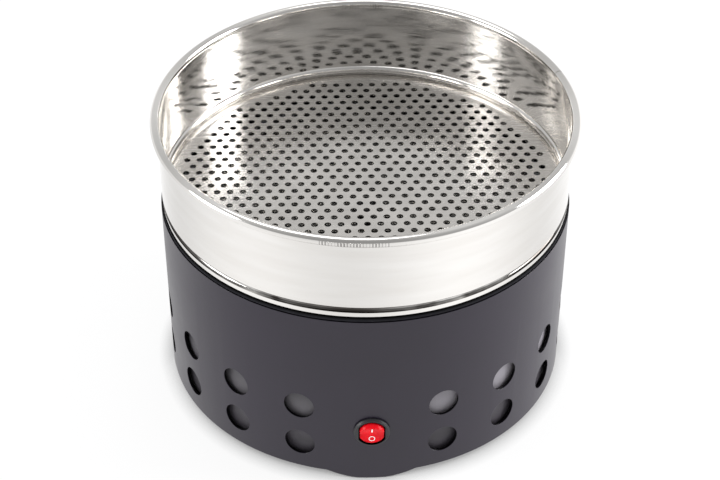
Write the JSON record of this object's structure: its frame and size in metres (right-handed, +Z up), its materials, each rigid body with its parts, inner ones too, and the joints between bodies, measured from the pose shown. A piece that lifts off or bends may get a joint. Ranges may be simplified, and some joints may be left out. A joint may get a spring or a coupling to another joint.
{
  "type": "coffee bean cooler",
  "caption": "Countertop coffee bean cooler: a lift-off perforated steel pan on a vented black fan drum with a lift-out chaff tray, rocker switch and power socket.",
  "frame": {"origin": "on the drum's axis, on the surface that the rubber feet stand on", "axes": "+Z up along the drum's axis, the switch faces -Y, the power socket faces +Y"},
  "size_m": [0.26, 0.2615, 0.187],
  "materials": {
    "black_paint": "satin powder coat",
    "polished_steel": "polished stainless steel",
    "zinc": "zinc plated",
    "screen_wire": "bright drawn wire",
    "black_rubber": "matt",
    "black_plastic": "fine moulded texture",
    "red_rocker": "translucent gloss",
    "brass": "stamped",
    "magnet": "moulded ferrite",
    "copper_winding": "enamelled wire",
    "circuit_board": "solder mask",
    "red_lead": "soft insulation"
  },
  "bodies": {
    "base": {"drum": "black_paint", "ledge_ring": "black_paint", "vent_screens": "screen_wire", "foot_brackets": "zinc", "base_plate": "black_paint", "foot_pads": "black_rubber", "foot_screws": "zinc", "seat_gasket": "black_rubber", "hopper": "zinc", "fan_deck": "zinc", "hopper_screws": "zinc", "fan_frame": "black_plastic", "fan_bearings": "zinc", "fan_stator": "copper_winding", "fan_board": "circuit_board", "fan_guard": "screen_wire", "fan_screws": "zinc", "fan_nuts": "zinc", "switch_body": "black_plastic", "switch_terminals": "brass", "power_inlet": "black_plastic", "inlet_nut": "zinc", "inlet_contacts": "zinc", "supply_lead": "red_lead", "fan_lead": "red_lead", "return_lead": "black_plastic", "lead_clips": "black_plastic", "lead_grommets": "black_rubber"},
    "pan": {"pan_wall": "polished_steel", "pan_floor": "polished_steel"},
    "tray": {"chaff_tray": "polished_steel", "chaff_screen": "screen_wire", "tray_knob": "black_plastic", "knob_washer": "zinc", "knob_screw": "zinc"},
    "rotor": {"fan_rotor": "black_plastic", "rotor_magnet": "magnet", "fan_shaft": "screen_wire"},
    "rocker": {"switch_rocker": "red_rocker"}
  },
  "joints": [
    {"name": "pan_lift", "type": "slide", "parent": "base", "child": "pan", "axis": [0, 0, 1], "range_m": [0, 0.16]},
    {"name": "tray_lift", "type": "slide", "parent": "base", "child": "tray", "axis": [0, 0, 1], "range_m": [0, 0.064]},
    {"name": "fan_spin", "type": "hinge", "parent": "base", "child": "rotor", "pos_m": [0, 0, 0.03], "axis": [0, 0, 1], "continuous": true},
    {"name": "switch_rock", "type": "hinge", "parent": "base", "child": "rocker", "pos_m": [0, -0.1262, 0.0398], "axis": [-1, 0, 0], "range_deg": [0, 22]}
  ],
  "couplings": [
    {"joint": "tray_lift", "follows": "pan_lift", "ratio": 0.4}
  ]
}
